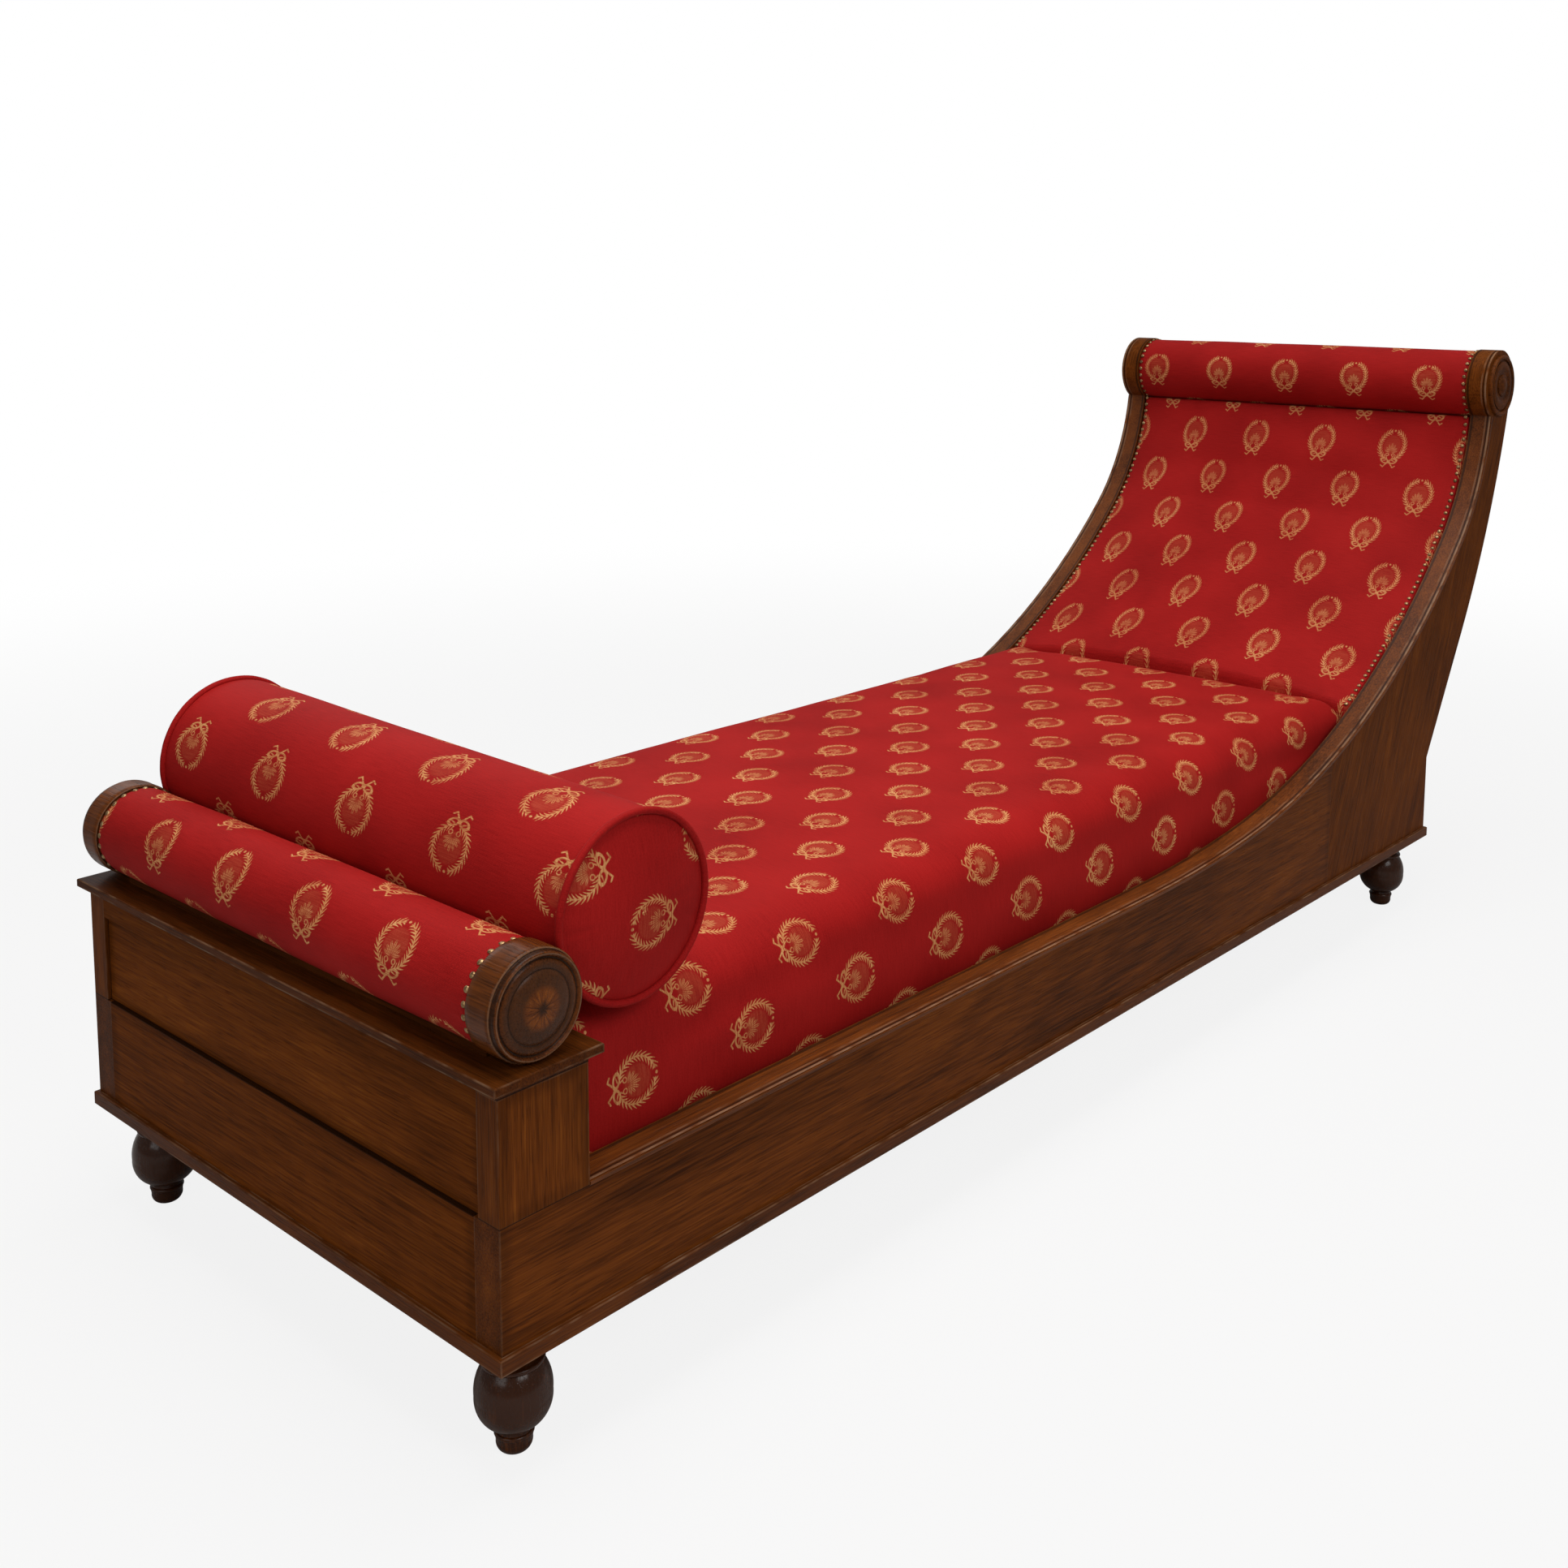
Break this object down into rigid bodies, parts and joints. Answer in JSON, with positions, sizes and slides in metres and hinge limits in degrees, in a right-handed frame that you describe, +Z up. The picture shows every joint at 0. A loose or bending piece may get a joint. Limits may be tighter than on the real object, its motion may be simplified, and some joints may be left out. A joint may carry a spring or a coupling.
{
  "type": "recamier",
  "caption": "Scroll-end daybed with a low rolled foot, an upholstered head scroll, a loose lift-out seat, a round bolster and turned ball feet.",
  "frame": {"origin": "centre of the bounding box at floor level", "axes": "+X from the low foot end to the high head end, +Y from the front long side to the back, +Z up"},
  "size_m": [2.1152, 0.709, 0.8768],
  "materials": {
    "polished_mahogany": "worn polish over figured red-brown grain, paler on the edges",
    "frame_wood": "plain sawn beech",
    "cover_fabric": "deep red ribbed weave with small gold wreaths",
    "stuffing": "hair and cotton stuffing",
    "webbing": "plain woven jute"
  },
  "bodies": {
    "frame": {"back_bottom_bar": "frame_wood", "back_corner_post": "polished_mahogany", "back_edge_strip": "polished_mahogany", "back_ledger": "frame_wood", "back_pad": "cover_fabric", "back_panel": "cover_fabric", "back_rail": "polished_mahogany", "back_scroll_arm": "polished_mahogany", "back_top_bar": "frame_wood", "back_webbing": "webbing", "base_moulding_back": "polished_mahogany", "base_moulding_foot": "polished_mahogany", "base_moulding_front": "polished_mahogany", "base_moulding_head": "polished_mahogany", "corner_blocks": "frame_wood", "cross_bearers": "frame_wood", "foot_back_foot_end": "polished_mahogany", "foot_back_head_end": "polished_mahogany", "foot_cap_board": "polished_mahogany", "foot_cap_cove": "polished_mahogany", "foot_front_foot_end": "polished_mahogany", "foot_front_head_end": "polished_mahogany", "foot_inner_board": "frame_wood", "foot_lining": "cover_fabric", "foot_panel": "polished_mahogany", "foot_rail": "polished_mahogany", "foot_roll_cap_back": "polished_mahogany", "foot_roll_cap_front": "polished_mahogany", "foot_roll_core": "frame_wood", "foot_roll_cover": "cover_fabric", "foot_roll_padding": "stuffing", "foot_roll_rest": "polished_mahogany", "foot_top_rail": "polished_mahogany", "front_corner_post": "polished_mahogany", "front_edge_strip": "polished_mahogany", "front_ledger": "frame_wood", "front_rail": "polished_mahogany", "front_scroll_arm": "polished_mahogany", "head_rail": "polished_mahogany", "head_roll_core": "frame_wood", "head_roll_cover": "cover_fabric", "head_roll_padding": "stuffing", "head_rosette_back": "polished_mahogany", "head_rosette_front": "polished_mahogany", "joint_dowels": "frame_wood", "pad_back_foot_end": "polished_mahogany", "pad_back_head_end": "polished_mahogany", "pad_front_foot_end": "polished_mahogany", "pad_front_head_end": "polished_mahogany"},
    "seat": {"seat_frame": "frame_wood", "seat_webbing": "webbing", "seat_pad": "cover_fabric"},
    "bolster": {"bolster_cover": "cover_fabric", "bolster_filling": "stuffing", "bolster_piping_front": "cover_fabric", "bolster_piping_back": "cover_fabric"}
  },
  "joints": [
    {"name": "seat_lift", "type": "slide", "parent": "frame", "child": "seat", "axis": [0, 0, 1], "range_m": [0, 0.22]},
    {"name": "bolster_slide", "type": "slide", "parent": "seat", "child": "bolster", "axis": [1, 0, 0], "range_m": [0, 1.36]}
  ]
}
